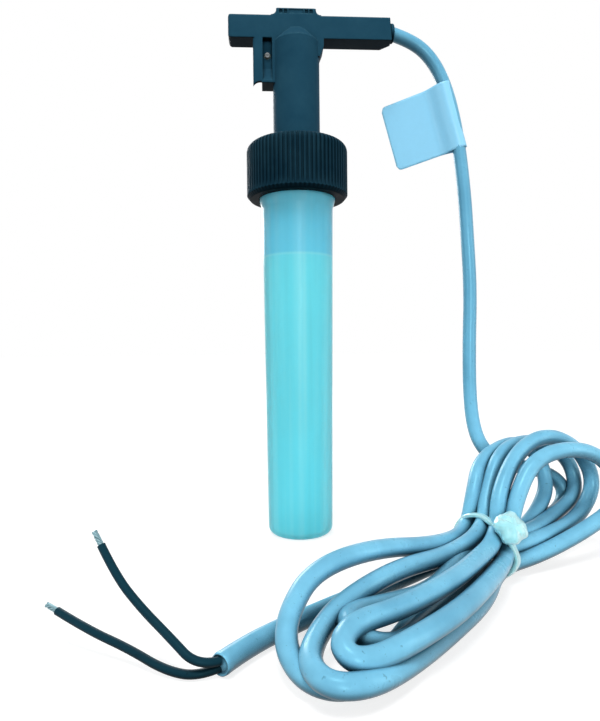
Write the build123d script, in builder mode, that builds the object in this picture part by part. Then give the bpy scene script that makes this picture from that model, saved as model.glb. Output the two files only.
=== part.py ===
from build123d import *
import math
import os

os.makedirs("parts", exist_ok=True)

# Paddle flow detector: a T-shaped switch head with a union nut, whose paddle stands in a
# translucent protective sleeve, and a two-core cable tied into a hank beside it.
# Millimetres. +Z is up the sleeve's axis, +X runs along the bar towards the cable, -Y is the front.
# The origin is the middle of the sleeve's closed end, which stands on the surface.

# Clearances
running_gap = 0.3        # between pieces that move against each other
seat_gap = 0.05          # between a piece and the hole that it is set in
pin_gap = 0.05           # radial, between the pivot pin and the lever's hub

# Protective sleeve
sleeve_length = 142.0
sleeve_foot_radius = 12.82
sleeve_neck_radius = 14.08
sleeve_neck_z = 129.4
sleeve_edge_radius = 3.2
sleeve_floor = 1.6
sleeve_wall = 1.9
collar_radius = 15.04
collar_start_z = 132.6
step_z = 110.0
sleeve_bore_radius = 12.6

# Union nut
nut_radius = 20.0
nut_height = 21.3
nut_top_wall = 4.8
nut_shoulder_radius = 3.0
nut_chamfer = 1.3
rib_count = 72
rib_depth = 0.55
groove_width = 1.0
groove_floor_width = 0.7

# Flange, gasket and slip ring inside the nut
gasket_thickness = 1.2
gasket_width = 2.1
flange_thickness = 3.0
flange_radius = 14.8
slip_ring_thickness = 2.4

# Stem and spigot
stem_radius = 9.25
stem_height = 51.0       # from the flange's underside
shoulder_height = 5.0
shoulder_top_radius = 4.5
spigot_length = 17.5
stem_bore_radius = 6.4
bore_roof = 5.5

# Bar on top of the stem
bar_rise = 0.9           # from the top of the stem's straight wall to the bar's underside
bar_height = 9.0
bar_depth = 8.0
bar_left = 26.6
bar_right = 37.8
bar_corner_radius = 1.3
bar_back_chamfer = 3.4
bar_edge_chamfer = 0.5
boss_height = 2.8
boss_top_width = 15.6
boss_flare = 1.85
boss_pocket_depth = 0.5
boss_pocket_width = 1.3
boss_pocket_height = 1.5
boss_window_width = 5.8

# Adjusting housing under the bar's left arm
adjuster_drop = 17.4
adjuster_body_left = 13.6
adjuster_plate_left = 17.0
adjuster_plate_thickness = 1.4
adjuster_tooth = 1.2
pocket_width = 3.7
pocket_centre_x = -11.35
pocket_depth = 3.0
pocket_slope_height = 5.7
pocket_sill = 0.8
screw_drop = 5.8
screw_head_radius = 0.95
screw_head_height = 0.8
screw_shank_radius = 0.6
screw_length = 3.6
screw_slot_width = 0.3
insert_radius = 1.3

# Web under the bar's right arm
web_reach = 10.8
web_straight = 2.9
web_drop = 6.9

# Reed contact in the bar
chamber_radius = 2.1
chamber_left = 16.0
reed_radius = 1.35
reed_length = 15.0
lead_radius = 0.3
potting_length = 22.0

# Pivot, lever and paddle
pivot_drop = 9.5         # from the flange's underside
pin_radius = 1.0
pin_length = 20.0
hub_radius = 2.8
hub_length = 8.8
arm_width = 4.0
arm_thickness = 2.4
magnet_top = 52.0        # above the pivot
magnet_holder_radius = 2.2
magnet_holder_length = 10.0
magnet_radius = 1.5
magnet_length = 6.0
tongue_drop = 22.0
tongue_width = 8.0
tongue_thickness = 1.6
blade_top_drop = 9.5
blade_tip_drop = 96.0
blade_width = 11.4
blade_thickness = 0.5
blade_corner_radius = 3.5
rivet_radius = 1.0
rivet_head_radius = 1.7
rivet_head_height = 0.5
rivet_drops = (13.5, 18.5)

# Cable
cable_diameter = 5.3
core_diameter = 2.05
tip_diameter = 1.35
tip_length = 4.0
exit_stand_off = 0.6
grommet_length = 1.3
grommet_wall = 0.55
grommet_slack = 0.4

# Tie and label on the cable
tie_half_width = 10.5
tie_half_height = 8.2
tie_thickness = 0.9
tie_band_width = 1.8
tie_knot_radius = 4.6
tie_knot_height = 6.5
label_width = 28.9
label_height = 27.0
label_thickness = 0.2
label_slack = 0.1

# Levels worked out from the sizes above
gasket_z = sleeve_length + running_gap
flange_z = gasket_z + gasket_thickness
slip_ring_z = flange_z + flange_thickness + running_gap
nut_ledge_z = slip_ring_z + slip_ring_thickness + running_gap
nut_top_z = nut_ledge_z + nut_top_wall
nut_bottom_z = nut_top_z - nut_height
stem_top_z = flange_z + stem_height
bar_bottom_z = stem_top_z + bar_rise
bar_top_z = bar_bottom_z + bar_height
bar_axis_z = bar_bottom_z + bar_height / 2
bar_front_y = -bar_depth / 2
adjuster_bottom_z = bar_bottom_z - adjuster_drop
pivot_z = flange_z - pivot_drop
nut_bore_radius = collar_radius + running_gap
spigot_radius = sleeve_bore_radius - running_gap


# Protective sleeve: a closed, slightly tapered tube with a collar that is pushed into the nut,
# and a step in its bore
def sleeve_radius(z):
    share = z / sleeve_neck_z
    return sleeve_foot_radius + (sleeve_neck_radius - sleeve_foot_radius) * share


with BuildPart() as protective_sleeve:
    with BuildSketch(Plane.XZ) as sleeve_section:
        with BuildLine():
            Polyline(
                (0, 0),
                (sleeve_foot_radius, 0),
                (sleeve_neck_radius, sleeve_neck_z),
                (collar_radius, collar_start_z),
                (collar_radius, sleeve_length),
                (sleeve_bore_radius, sleeve_length),
                (sleeve_bore_radius, step_z),
                (sleeve_radius(step_z) - sleeve_wall, step_z),
                (sleeve_foot_radius - sleeve_wall, sleeve_floor),
                (0, sleeve_floor),
                close=True,
            )
        make_face()
        foot = sleeve_section.vertices().sort_by(Axis.Y)[0:2].sort_by(Axis.X)[-1]
        fillet(foot, radius=sleeve_edge_radius)
        inner_foot = sleeve_section.vertices().filter_by_position(
            Axis.Y, sleeve_floor - 0.01, sleeve_floor + 0.01
        )
        chamfer(inner_foot.sort_by(Axis.X)[-1], length=sleeve_edge_radius - sleeve_wall)
    revolve(axis=Axis.Z)
protective_sleeve.part.label = "protective_sleeve"
export_step(protective_sleeve.part, "parts/protective_sleeve.step")


# Union nut: a ribbed ring with an inward top wall that bears on the slip ring
with BuildPart() as union_nut:
    with BuildSketch(Plane.XZ) as nut_section:
        with BuildLine():
            Polyline(
                (nut_bore_radius, nut_bottom_z),
                (nut_radius, nut_bottom_z),
                (nut_radius, nut_top_z),
                (stem_radius + running_gap, nut_top_z),
                (stem_radius + running_gap, nut_ledge_z),
                (nut_bore_radius, nut_ledge_z),
                close=True,
            )
        make_face()
        outer = nut_section.vertices().group_by(Axis.X)[-1].sort_by(Axis.Y)
        chamfer(outer[0], length=nut_chamfer)
        fillet(outer[-1], radius=nut_shoulder_radius)
    revolve(axis=Axis.Z)
    with BuildSketch(Plane.XY.offset(nut_bottom_z)):
        with PolarLocations(nut_radius, rib_count):
            with Locations((0.5, 0)):
                with BuildLine():
                    Polyline(
                        (-rib_depth - 0.5, -groove_floor_width / 2),
                        (0, -groove_width / 2),
                        (0, groove_width / 2),
                        (-rib_depth - 0.5, groove_floor_width / 2),
                        close=True,
                    )
                make_face()
    extrude(amount=nut_height, mode=Mode.SUBTRACT)
union_nut.part.label = "union_nut"
export_step(union_nut.part, "parts/union_nut.step")


# Slip ring between the nut's top wall and the flange
with BuildPart() as slip_ring:
    with BuildSketch(Plane.XY.offset(slip_ring_z)):
        Circle(flange_radius)
        Circle(stem_radius + running_gap, mode=Mode.SUBTRACT)
    extrude(amount=slip_ring_thickness)
slip_ring.part.label = "slip_ring"
export_step(slip_ring.part, "parts/slip_ring.step")


# Flat gasket under the flange
with BuildPart() as flat_gasket:
    with BuildSketch(Plane.XY.offset(gasket_z)):
        Circle(flange_radius)
        Circle(flange_radius - gasket_width, mode=Mode.SUBTRACT)
    extrude(amount=gasket_thickness)
flat_gasket.part.label = "flat_gasket"
export_step(flat_gasket.part, "parts/flat_gasket.step")


# Bar: a square bar with a rounded left end and a slightly slanted right end
bar_end_draft = 0.6
with BuildPart() as bar:
    with BuildSketch(Plane.XZ):
        with BuildLine():
            Polyline(
                (-bar_left, bar_bottom_z),
                (bar_right, bar_bottom_z),
                (bar_right - bar_end_draft, bar_top_z),
                (-bar_left, bar_top_z),
                close=True,
            )
        make_face()
    extrude(amount=bar_depth / 2, both=True)
    left_end = bar.faces().sort_by(Axis.X)[0]
    fillet(left_end.edges(), radius=bar_corner_radius)
    back_edge = bar.edges().filter_by_position(Axis.X, bar_right - 1.0, bar_right + 1.0)
    chamfer(back_edge.filter_by_position(Axis.Y, bar_depth / 2 - 0.01, bar_depth / 2 + 0.01)
            .sort_by(Axis.X)[-1], length=bar_back_chamfer)
    # The long top edges are bevelled right through
    for side in (-1, 1):
        with BuildSketch(Plane.YZ.offset(-bar_left - 1.0)):
            with BuildLine():
                Polyline(
                    (side * (bar_depth / 2 + 0.5), bar_top_z - bar_edge_chamfer - 0.5),
                    (side * (bar_depth / 2 - bar_edge_chamfer - 0.5), bar_top_z + 0.5),
                    (side * (bar_depth / 2 + 0.5), bar_top_z + 0.5),
                    close=True,
                )
            make_face()
        extrude(amount=bar_left + bar_right + 2.0, mode=Mode.SUBTRACT)


# Switch housing: spigot, flange, stem, bar, boss, adjusting housing and web in one moulding
with BuildPart() as switch_housing:
    with BuildSketch(Plane.XZ):
        with BuildLine():
            Polyline(
                (stem_bore_radius, flange_z - spigot_length),
                (spigot_radius, flange_z - spigot_length),
                (spigot_radius, flange_z),
                (flange_radius, flange_z),
                (flange_radius, flange_z + flange_thickness),
                (stem_radius, flange_z + flange_thickness),
                (stem_radius, stem_top_z),
                (shoulder_top_radius, stem_top_z + shoulder_height),
                (0, stem_top_z + shoulder_height),
                (0, stem_top_z - bore_roof),
                (stem_bore_radius, stem_top_z - bore_roof),
                close=True,
            )
        make_face()
    revolve(axis=Axis.Z)
    add(bar.part)

    # Boss over the stem, with hollow flanks
    boss_top_z = bar_top_z + boss_height
    boss_half = boss_top_width / 2
    with BuildSketch(Plane.XZ) as boss_outline:
        with BuildLine():
            Polyline(
                (-boss_half - boss_flare - 0.2, bar_bottom_z + bar_height / 2),
                (-boss_half - boss_flare - 0.2, bar_top_z),
                (-boss_half, bar_top_z),
                (-boss_half, boss_top_z),
                (boss_half, boss_top_z),
                (boss_half, bar_top_z),
                (boss_half + boss_flare + 0.2, bar_top_z),
                (boss_half + boss_flare + 0.2, bar_bottom_z + bar_height / 2),
                close=True,
            )
        make_face()
        flanks = boss_outline.vertices().filter_by_position(Axis.Y, bar_top_z - 0.01, bar_top_z + 0.01)
        fillet(flanks.sort_by(Axis.X)[1:-1], radius=boss_flare)
    extrude(amount=bar_depth / 2, both=True)
    chamfer(switch_housing.faces().sort_by(Axis.Z)[-1].edges(), length=bar_edge_chamfer)

    # Two pairs of small pockets and a shallow window in the boss's front
    pocket_row_z = boss_top_z - bar_edge_chamfer - boss_pocket_height / 2 - 0.2
    with BuildSketch(Plane.XZ.offset(-bar_front_y)):
        for side in (-1, 1):
            with Locations((side * 4.1, pocket_row_z), (side * 5.9, pocket_row_z)):
                Rectangle(boss_pocket_width, boss_pocket_height)
    extrude(amount=-boss_pocket_depth, mode=Mode.SUBTRACT)
    with BuildSketch(Plane.XZ.offset(-bar_front_y)):
        with Locations((0, pocket_row_z)):
            Rectangle(boss_window_width, boss_pocket_height)
    extrude(amount=-boss_pocket_depth / 2, mode=Mode.SUBTRACT)

    # Adjusting housing: a block beside the stem with a thin front plate that reaches past it
    with BuildSketch(Plane.XY.offset(adjuster_bottom_z)):
        with Locations((-(adjuster_body_left + stem_bore_radius + 0.6) / 2, 0)):
            Rectangle(adjuster_body_left - stem_bore_radius - 0.6, bar_depth)
    extrude(amount=adjuster_drop + bar_corner_radius)
    with BuildSketch(Plane.XZ.offset(-bar_front_y)):
        with BuildLine():
            Polyline(
                (-adjuster_body_left + 1.0, adjuster_bottom_z),
                (-adjuster_body_left + 1.0, bar_bottom_z + bar_corner_radius),
                (-adjuster_plate_left, bar_bottom_z + bar_corner_radius),
                (-adjuster_plate_left, adjuster_bottom_z - adjuster_tooth),
            )
            ThreePointArc(
                (-adjuster_plate_left, adjuster_bottom_z - adjuster_tooth),
                (-adjuster_plate_left + 1.9, adjuster_bottom_z + 0.3),
                (-adjuster_body_left + 1.0, adjuster_bottom_z),
            )
        make_face()
    extrude(amount=-adjuster_plate_thickness)
    plate_edge = switch_housing.edges().filter_by(Axis.Z).filter_by_position(
        Axis.X, -adjuster_plate_left - 0.01, -adjuster_plate_left + 0.01
    )
    fillet(plate_edge.sort_by(Axis.Y)[0], radius=adjuster_plate_thickness - 0.3)

    # Pocket for the adjusting screw, with a floor that slopes out at its lower end
    pocket_floor_y = bar_front_y + pocket_depth
    sill_z = adjuster_bottom_z + pocket_sill
    with BuildSketch(Plane.YZ.offset(pocket_centre_x - pocket_width / 2)):
        with BuildLine():
            Polyline(
                (bar_front_y - 0.5, bar_bottom_z),
                (pocket_floor_y, bar_bottom_z),
                (pocket_floor_y, sill_z + pocket_slope_height),
                (bar_front_y, sill_z),
                (bar_front_y - 0.5, sill_z),
                close=True,
            )
        make_face()
    extrude(amount=pocket_width, mode=Mode.SUBTRACT)

    # Web under the right arm
    with BuildSketch(Plane.XZ):
        with BuildLine():
            Polyline(
                (stem_bore_radius + 1.0, bar_bottom_z + 0.5),
                (web_reach, bar_bottom_z + 0.5),
                (web_reach, bar_bottom_z - web_straight),
                (stem_radius, bar_bottom_z - web_drop),
                (stem_bore_radius + 1.0, bar_bottom_z - web_drop),
                close=True,
            )
        make_face()
    extrude(amount=bar_depth / 2, both=True)

    # Chamber for the reed contact, open at the cable's end
    with BuildSketch(Plane.YZ.offset(-chamber_left)):
        with Locations((0, bar_axis_z)):
            Circle(chamber_radius)
    extrude(amount=chamber_left + bar_right + 1.0, mode=Mode.SUBTRACT)

    # Holes for the pivot pin and the threaded insert
    with BuildSketch(Plane.YZ.offset(-pin_length / 2)):
        with Locations((0, pivot_z)):
            Circle(pin_radius + seat_gap)
    extrude(amount=pin_length / 2 + spigot_radius + 1.0, mode=Mode.SUBTRACT)
    screw_z = bar_bottom_z - screw_drop
    with BuildSketch(Plane.XZ.offset(-pocket_floor_y)):
        with Locations((pocket_centre_x, screw_z)):
            Circle(insert_radius + seat_gap)
    extrude(amount=-screw_length, mode=Mode.SUBTRACT)
switch_housing.part.label = "switch_housing"
export_step(switch_housing.part, "parts/switch_housing.step")


# Threaded insert and slotted adjusting screw
with BuildPart() as threaded_insert:
    with BuildSketch(Plane.XZ.offset(-pocket_floor_y)):
        with Locations((pocket_centre_x, screw_z)):
            Circle(insert_radius)
            Circle(screw_shank_radius + pin_gap, mode=Mode.SUBTRACT)
    extrude(amount=-screw_length)
threaded_insert.part.label = "threaded_insert"
export_step(threaded_insert.part, "parts/threaded_insert.step")

head_face_y = pocket_floor_y - seat_gap - screw_head_height
with BuildPart() as adjusting_screw:
    with BuildSketch(Plane.XZ.offset(-head_face_y)):
        with Locations((pocket_centre_x, screw_z)):
            Circle(screw_head_radius)
    extrude(amount=-screw_head_height)
    with BuildSketch(Plane.XZ.offset(-head_face_y - screw_head_height)):
        with Locations((pocket_centre_x, screw_z)):
            Circle(screw_shank_radius)
    extrude(amount=-(screw_length - seat_gap))
    with BuildSketch(Plane.XZ.offset(-head_face_y)):
        with Locations((pocket_centre_x, screw_z)):
            Rectangle(2 * screw_head_radius, screw_slot_width)
    extrude(amount=-screw_head_height / 2, mode=Mode.SUBTRACT)
adjusting_screw.part.label = "adjusting_screw"
export_step(adjusting_screw.part, "parts/adjusting_screw.step")


# Reed contact: a glass capsule, its two leads, and the potting that closes the chamber
with BuildPart() as reed_capsule:
    with BuildSketch(Plane.YZ.offset(-reed_length / 2)):
        with Locations((0, bar_axis_z)):
            Circle(reed_radius)
    extrude(amount=reed_length)
    chamfer(reed_capsule.edges().filter_by(GeomType.CIRCLE), length=reed_radius / 2)
reed_capsule.part.label = "reed_capsule"
export_step(reed_capsule.part, "parts/reed_capsule.step")

potting_start_x = bar_right - potting_length
with BuildPart() as reed_leads:
    with BuildSketch(Plane.YZ.offset(reed_length / 2)):
        with Locations((0, bar_axis_z)):
            Circle(lead_radius)
    extrude(amount=potting_start_x - reed_length / 2)
    with BuildSketch(Plane.YZ.offset(-reed_length / 2)):
        with Locations((0, bar_axis_z)):
            Circle(lead_radius)
    extrude(amount=-(chamber_left - reed_length / 2 - seat_gap))
reed_leads.part.label = "reed_leads"
export_step(reed_leads.part, "parts/reed_leads.step")

with BuildPart() as potting_plug:
    with BuildSketch(Plane.YZ.offset(potting_start_x)):
        with Locations((0, bar_axis_z)):
            Circle(chamber_radius - seat_gap)
    extrude(amount=potting_length)
potting_plug.part.label = "potting_plug"
export_step(potting_plug.part, "parts/potting_plug.step")


# Collar round the cable where it leaves the bar
grommet_bore = cable_diameter / 2 + grommet_slack
with BuildPart() as cable_collar:
    with BuildSketch(Plane.YZ.offset(bar_right)):
        with Locations((0, bar_axis_z)):
            Circle(grommet_bore + grommet_wall)
            Circle(grommet_bore, mode=Mode.SUBTRACT)
    extrude(amount=grommet_length)
    rim = cable_collar.faces().sort_by(Axis.X)[-1].edges().sort_by(SortBy.LENGTH)[-1]
    chamfer(rim, length=grommet_wall / 2)
cable_collar.part.label = "cable_collar"
export_step(cable_collar.part, "parts/cable_collar.step")


# Pivot pin across the spigot
with BuildPart() as pivot_pin:
    with BuildSketch(Plane.YZ.offset(-pin_length / 2)):
        with Locations((0, pivot_z)):
            Circle(pin_radius)
    extrude(amount=pin_length)
pivot_pin.part.label = "pivot_pin"
export_step(pivot_pin.part, "parts/pivot_pin.step")


# Lever: a hub on the pin, an arm up to the magnet holder and a tongue down to the blade
holder_top_z = pivot_z + magnet_top
holder_z = holder_top_z - magnet_holder_length
with BuildPart() as paddle_lever:
    with BuildSketch(Plane.YZ.offset(-hub_length / 2)):
        with Locations((0, pivot_z)):
            Circle(hub_radius)
    extrude(amount=hub_length)
    with BuildSketch(Plane.XY.offset(pivot_z)):
        Rectangle(arm_width, arm_thickness)
    extrude(amount=holder_z - pivot_z)
    with BuildSketch(Plane.XY.offset(holder_z)):
        Circle(magnet_holder_radius)
    extrude(amount=magnet_holder_length)
    with BuildSketch(Plane.XY.offset(pivot_z)):
        Rectangle(tongue_width, tongue_thickness)
    extrude(amount=-tongue_drop)
    with BuildSketch(Plane.XY.offset(holder_top_z)):
        Circle(magnet_radius + seat_gap)
    extrude(amount=-magnet_length, mode=Mode.SUBTRACT)
    with BuildSketch(Plane.YZ.offset(-hub_length / 2)):
        with Locations((0, pivot_z)):
            Circle(pin_radius + pin_gap)
    extrude(amount=hub_length, mode=Mode.SUBTRACT)
    with BuildSketch(Plane.XZ.offset(-tongue_thickness / 2)):
        for drop in rivet_drops:
            with Locations((0, pivot_z - drop)):
                Circle(rivet_radius)
    extrude(amount=tongue_thickness, mode=Mode.SUBTRACT)
paddle_lever.part.label = "paddle_lever"
export_step(paddle_lever.part, "parts/paddle_lever.step")

with BuildPart() as lever_magnet:
    with BuildSketch(Plane.XY.offset(holder_top_z - magnet_length)):
        Circle(magnet_radius)
    extrude(amount=magnet_length)
lever_magnet.part.label = "lever_magnet"
export_step(lever_magnet.part, "parts/lever_magnet.step")


# Paddle blade: a flat strip in front of the tongue, with rounded lower corners
blade_front_y = -tongue_thickness / 2 - blade_thickness
with BuildPart() as paddle_blade:
    blade_length = blade_tip_drop - blade_top_drop
    with BuildSketch(Plane.XZ.offset(-blade_front_y)) as blade_outline:
        with Locations((0, pivot_z - blade_top_drop - blade_length / 2)):
            Rectangle(blade_width, blade_length)
        fillet(blade_outline.vertices().group_by(Axis.Y)[0], radius=blade_corner_radius)
        for drop in rivet_drops:
            with Locations((0, pivot_z - drop)):
                Circle(rivet_radius, mode=Mode.SUBTRACT)
    extrude(amount=-blade_thickness)
paddle_blade.part.label = "paddle_blade"
export_step(paddle_blade.part, "parts/paddle_blade.step")


# Two rivets that hold the blade on the tongue
with BuildPart() as blade_rivets:
    for drop in rivet_drops:
        with BuildSketch(Plane.XZ.offset(-blade_front_y)):
            with Locations((0, pivot_z - drop)):
                Circle(rivet_radius)
        extrude(amount=-(blade_thickness + tongue_thickness))
        with BuildSketch(Plane.XZ.offset(-blade_front_y)):
            with Locations((0, pivot_z - drop)):
                Circle(rivet_head_radius)
        extrude(amount=rivet_head_height)
        with BuildSketch(Plane.XZ.offset(-tongue_thickness / 2)):
            with Locations((0, pivot_z - drop)):
                Circle(rivet_head_radius)
        extrude(amount=-rivet_head_height)
blade_rivets.part.label = "blade_rivets"
export_step(blade_rivets.part, "parts/blade_rivets.step")


# Routes of the cable's free stretches: each is a line of points, joined by arcs as large as the runs allow
drop_route = [
    (bar_right + exit_stand_off, 0.0, bar_axis_z),
    (46.6, 0.8, 197.9),
    (55.0, 1.4, 191.6),
    (61.2, 1.4, 179.8),
    (65.6, 1.1, 161.0),
    (68.1, 0.5, 138.4),
    (69.2, -0.1, 117.3),
    (70.2, -0.3, 96.4),
    (69.3, -0.9, 74.5),
    (68.5, -3.5, 53.0),
    (68.2, -9.5, 40.0),
    (70.8, -14.0, 33.0),
]
tail_route = [(-5.5, -83.6, 2.65), (-12.3, -89.4, 2.65), (-18.4, -95.9, 2.7), (-24.0, -102.4, 2.9)]
core_route_1 = [
    (-24.1, -101.9, 2.0),
    (-28.8, -103.9, 1.1),
    (-36.5, -101.6, 1.5),
    (-46.0, -95.6, 3.8),
    (-56.6, -90.9, 6.3),
    (-65.6, -85.9, 9.0),
]
core_route_2 = [
    (-24.2, -102.8, 3.9),
    (-29.0, -105.2, 4.0),
    (-35.6, -100.1, 8.2),
    (-43.3, -94.7, 13.0),
    (-49.6, -91.6, 19.3),
    (-53.9, -88.6, 26.0),
]


def bend_radii(name, route):
    radii = []
    for before, corner, after in zip(route, route[1:], route[2:]):
        run_in = Vector(corner) - Vector(before)
        run_out = Vector(after) - Vector(corner)
        half_turn = math.radians(run_in.get_angle(run_out)) / 2
        radii.append(0.45 * min(run_in.length, run_out.length) / math.tan(half_turn))
    print(name, "bend radii", [round(radius, 1) for radius in radii])
    return radii


def end_plane(route):
    return Plane(origin=route[-1], z_dir=Vector(route[-1]) - Vector(route[-2]))


# Cable from the bar down to the hank
with BuildPart() as cable_drop:
    with BuildLine() as drop_path:
        FilletPolyline(*drop_route, radius=bend_radii("drop", drop_route))
    with BuildSketch(Plane(origin=drop_path.line @ 0, z_dir=drop_path.line % 0)):
        Circle(cable_diameter / 2)
    sweep()
cable_drop.part.label = "cable_drop"
export_step(cable_drop.part, "parts/cable_drop.step")
drop_length = sum(edge.length for edge in drop_path.edges())
drop_section = math.pi * cable_diameter ** 2 / 4
print("drop length", round(drop_length, 1), "volume / section", round(cable_drop.part.volume / drop_section, 1))


# Cable from the hank to its cut end
with BuildPart() as cable_tail:
    with BuildLine() as tail_path:
        FilletPolyline(*tail_route, radius=bend_radii("tail", tail_route))
    with BuildSketch(Plane(origin=tail_path.line @ 0, z_dir=tail_path.line % 0)):
        Circle(cable_diameter / 2)
    sweep()
cable_tail.part.label = "cable_tail"
export_step(cable_tail.part, "parts/cable_tail.step")


# Two insulated cores and their bare tips
with BuildPart() as core_1:
    with BuildLine() as core_path_1:
        FilletPolyline(*core_route_1, radius=bend_radii("core 1", core_route_1))
    with BuildSketch(Plane(origin=core_path_1.line @ 0, z_dir=core_path_1.line % 0)):
        Circle(core_diameter / 2)
    sweep()
core_1.part.label = "core_1"
export_step(core_1.part, "parts/core_1.step")

with BuildPart() as core_2:
    with BuildLine() as core_path_2:
        FilletPolyline(*core_route_2, radius=bend_radii("core 2", core_route_2))
    with BuildSketch(Plane(origin=core_path_2.line @ 0, z_dir=core_path_2.line % 0)):
        Circle(core_diameter / 2)
    sweep()
core_2.part.label = "core_2"
export_step(core_2.part, "parts/core_2.step")

with BuildPart() as core_tip_1:
    with BuildSketch(end_plane(core_route_1)):
        Circle(tip_diameter / 2)
    extrude(amount=tip_length)
core_tip_1.part.label = "core_tip_1"
export_step(core_tip_1.part, "parts/core_tip_1.step")

with BuildPart() as core_tip_2:
    with BuildSketch(end_plane(core_route_2)):
        Circle(tip_diameter / 2)
    extrude(amount=tip_length)
core_tip_2.part.label = "core_tip_2"
export_step(core_tip_2.part, "parts/core_tip_2.step")


# Hank: the outer shape of the tied turns. Its left lobes lie on the surface and its right lobes
# stand up behind the tie, round an open eye. A narrow waist passes through the tie.
tie_centre = (57.0, -50.0)
tie_ring_plane = Plane(origin=(56.4, -51.1, 10.1), x_dir=(0.533, -0.751, -0.390), z_dir=(0.833, 0.547, 0.083))
waist_reach_left = 14.0
waist_reach_right = 10.0
lying_side = Vector(-0.815, -0.58, 0)
standing_side = Vector(0.92, 0.39, 0)
lying_footprint = [((44, -61), 9), ((44, -70), 8), ((20, -92), 15), ((4, -97.5), 17), ((28, -70), 13)]
standing_profile = [((14, 15), 10), ((34, 23), 21.5)]
standing_eye = [((19, 21), 3.5), ((38, 23), 6.5)]

with BuildPart() as lying_lobes:
    with BuildSketch():
        for centre, radius in lying_footprint:
            with Locations(centre):
                Circle(radius)
        make_hull()
    extrude(amount=26.0)
    with BuildSketch(Plane(origin=(*tie_centre, 0), x_dir=lying_side, z_dir=(lying_side.Y, -lying_side.X, 0))):
        with BuildLine():
            Polyline((-20, 0), (-20, 24.5), (0, 24.5), (35, 22), (62, 20.5), (93, 9), (93, 0), close=True)
        make_face()
    extrude(amount=60, both=True, mode=Mode.INTERSECT)

with BuildPart() as cable_coil:
    with BuildSketch(
        Plane(origin=(*tie_centre, 0), x_dir=standing_side, z_dir=(standing_side.Y, -standing_side.X, 0))
    ):
        for centre, radius in standing_profile:
            with Locations(centre):
                Circle(radius)
        make_hull()
    extrude(amount=50, both=True)
    with BuildSketch(Plane(origin=(*tie_centre, 0), x_dir=standing_side)):
        Polygon((-8, -9), (0, -12), (58, -12), (58, 13), (40, 22), (36, 31), (22, 31), (15, 17), (-8, 9),
                align=None)
    extrude(amount=60, mode=Mode.INTERSECT)
    with BuildSketch(
        Plane(origin=(*tie_centre, 0), x_dir=standing_side, z_dir=(standing_side.Y, -standing_side.X, 0))
    ):
        for centre, radius in standing_eye:
            with Locations(centre):
                Circle(radius)
        make_hull()
    extrude(amount=50, both=True, mode=Mode.SUBTRACT)
    add(lying_lobes.part)
    with BuildSketch(tie_ring_plane.offset(-waist_reach_left)):
        Ellipse(tie_half_width, tie_half_height)
    extrude(amount=waist_reach_left + waist_reach_right)
cable_coil.part.label = "cable_coil"
export_step(cable_coil.part, "parts/cable_coil.step")
print("hank volume", round(cable_coil.part.volume))


# Clear tie round the hank's waist, and its twisted knot
tie_knot_centre = (60.7, -60.0, 18.1)
tie_knot_axis = (0.10, -0.80, 0.60)
with BuildPart() as cable_tie:
    with BuildSketch(tie_ring_plane):
        Ellipse(tie_half_width + tie_thickness, tie_half_height + tie_thickness)
        Ellipse(tie_half_width, tie_half_height, mode=Mode.SUBTRACT)
    extrude(amount=tie_band_width / 2, both=True)
    with BuildSketch(Plane(origin=tie_knot_centre, z_dir=tie_knot_axis)) as knot_outline:
        Circle(tie_knot_radius)
    extrude(amount=tie_knot_height / 2, both=True, taper=12)
cable_tie.part.label = "cable_tie"
export_step(cable_tie.part, "parts/cable_tie.step")


# Flag label: wrapped round the cable, with its two layers stuck together beside it
label_axis_point = Vector(63.08, 1.15, 167.7)
label_up = Vector(-0.263, -0.002, 0.965)
label_across = Vector(0.901, -0.358, 0.245)
wrap_radius = cable_diameter / 2 + label_slack
with BuildPart() as cable_label:
    with BuildSketch(
        Plane(origin=label_axis_point - label_up * (label_height / 2), x_dir=label_across, z_dir=label_up)
    ):
        with Locations((-(label_width - wrap_radius) / 2 - wrap_radius, 0)):
            Rectangle(label_width - wrap_radius + label_thickness, 2 * label_thickness)
        Circle(wrap_radius + label_thickness)
        Circle(wrap_radius, mode=Mode.SUBTRACT)
    extrude(amount=label_height)
cable_label.part.label = "cable_label"
export_step(cable_label.part, "parts/cable_label.step")
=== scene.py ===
"""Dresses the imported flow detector: a black T-shaped switch head with a ribbed union nut, its
translucent protective sleeve, and the two-core cable that is tied into a hank beside it.

All lengths are metres, in the frame of the CAD: +Z up the sleeve's axis, +X along the bar towards
the cable, -Y the front, and the origin in the middle of the sleeve's closed end.
"""

import math

import bpy
import numpy as np
from mathutils import Matrix, Vector


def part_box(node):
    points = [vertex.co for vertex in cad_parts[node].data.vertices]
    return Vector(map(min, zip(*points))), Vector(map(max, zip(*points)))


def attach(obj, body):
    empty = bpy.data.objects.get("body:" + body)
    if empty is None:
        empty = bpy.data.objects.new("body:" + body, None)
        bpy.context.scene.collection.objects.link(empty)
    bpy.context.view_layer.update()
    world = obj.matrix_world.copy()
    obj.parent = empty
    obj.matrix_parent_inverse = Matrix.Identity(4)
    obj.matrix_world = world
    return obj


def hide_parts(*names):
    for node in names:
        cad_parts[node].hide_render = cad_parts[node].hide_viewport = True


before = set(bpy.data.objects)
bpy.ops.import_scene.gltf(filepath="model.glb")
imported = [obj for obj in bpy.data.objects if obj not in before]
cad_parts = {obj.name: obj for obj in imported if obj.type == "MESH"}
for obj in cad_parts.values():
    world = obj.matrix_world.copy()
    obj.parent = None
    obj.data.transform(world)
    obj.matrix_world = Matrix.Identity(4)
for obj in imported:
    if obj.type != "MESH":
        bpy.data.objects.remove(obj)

bl_info = {
    "name": "Flow detector dressing",
    "version": (1, 0, 0),
    "blender": (4, 5, 0),
    "location": "View3D > Sidebar > Detector",
    "description": "Builds the visible pieces, finishes and stage round the packed flow detector",
    "category": "Object",
}


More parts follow.
